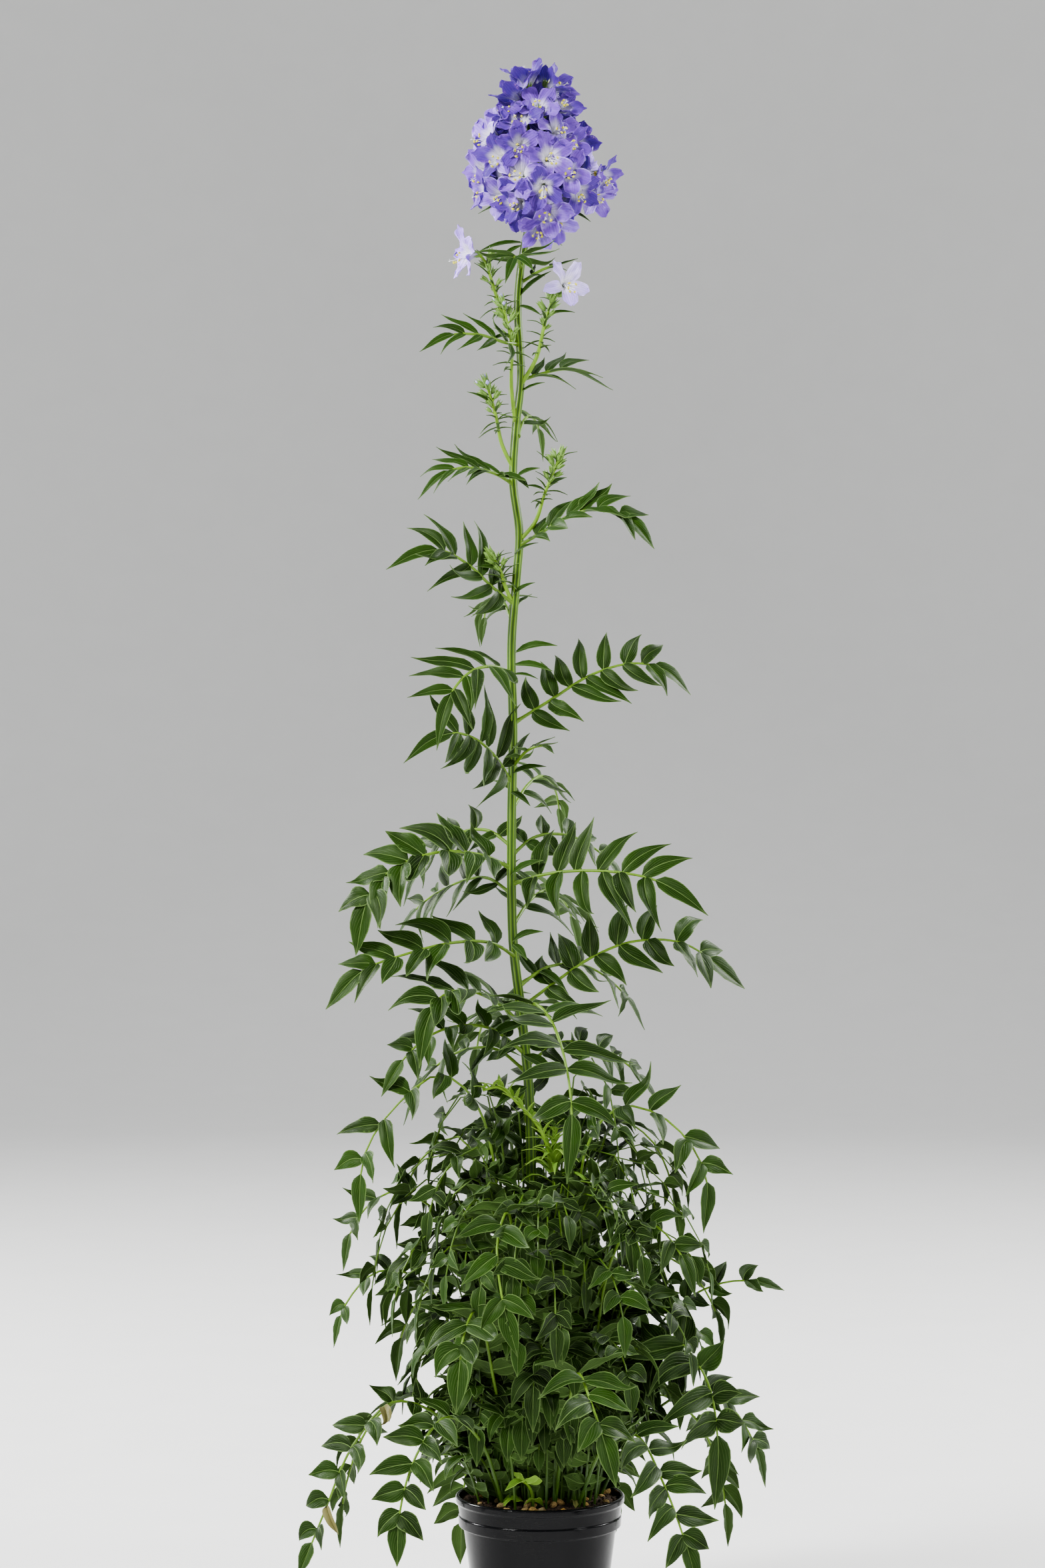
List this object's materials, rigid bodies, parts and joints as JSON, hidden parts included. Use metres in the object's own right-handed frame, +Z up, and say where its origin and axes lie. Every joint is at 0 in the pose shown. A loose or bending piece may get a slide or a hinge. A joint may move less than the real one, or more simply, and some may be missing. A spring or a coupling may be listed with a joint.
{
  "type": "potted jacobs ladder",
  "caption": "Flowering jacobs ladder in a round black nursery pot, with pinnate fronds, a tall leafy stem and a dense head of violet flowers.",
  "frame": {"origin": "centre of the pot's base, on the surface that the pot stands on", "axes": "+Z up along the stem, -Y towards the front, +X to the right as seen from the front"},
  "size_m": [0.3071, 0.2552, 0.9972],
  "materials": {
    "pot": "gloss",
    "soil": "matte",
    "stem": "satin",
    "leaf": "satin",
    "young_leaf": "satin",
    "petal": "matte"
  },
  "bodies": {
    "root": {"pot": "pot", "soil": "soil", "flower_stem": "stem", "leafy_shoot": "young_leaf", "frond_top_front": "leaf", "frond_top_right": "leaf", "frond_top_left": "leaf", "frond_upper_right": "leaf", "frond_upper_left": "leaf", "frond_upper_rear": "leaf", "frond_high_right": "leaf", "frond_high_left": "leaf", "frond_high_rear": "leaf", "frond_mid_left_upper": "leaf", "frond_mid_right": "leaf", "frond_mid_left_lower": "leaf", "frond_mid_front": "leaf", "frond_mid_rear": "leaf", "frond_broad_right": "leaf", "frond_broad_left": "leaf", "frond_broad_left_rear": "leaf", "frond_broad_rear": "leaf", "frond_low_left": "leaf", "frond_low_right": "leaf", "frond_low_left_front": "leaf", "frond_low_front": "leaf", "frond_low_rear": "leaf", "crown_frond_right_arch": "leaf", "crown_frond_left_arch": "leaf", "crown_frond_left_mid": "leaf", "crown_frond_left_curl": "leaf", "crown_frond_front_mid": "leaf", "crown_frond_front_left": "leaf", "crown_frond_trail_left": "leaf", "crown_frond_far_left": "leaf", "crown_frond_front_right": "leaf", "crown_frond_broad_right": "leaf", "crown_frond_trail_right": "leaf", "crown_frond_far_right": "leaf", "crown_frond_right_mid": "leaf", "crown_frond_right_low": "leaf", "crown_frond_rear_tall_1": "leaf", "crown_frond_rear_tall_2": "leaf", "crown_frond_rear_tall_3": "leaf", "crown_frond_rear_tall_4": "leaf", "crown_frond_rear_middle_1": "leaf", "crown_frond_rear_middle_2": "leaf", "crown_frond_rear_middle_3": "leaf", "crown_frond_rear_middle_4": "leaf", "crown_frond_rear_low_1": "leaf", "crown_frond_rear_low_2": "leaf", "crown_frond_rear_low_3": "leaf", "crown_frond_rear_low_4": "leaf", "young_leaf": "young_leaf", "flower_head": "petal", "side_bloom_left": "petal", "side_bloom_right": "petal"}
  },
  "joints": []
}
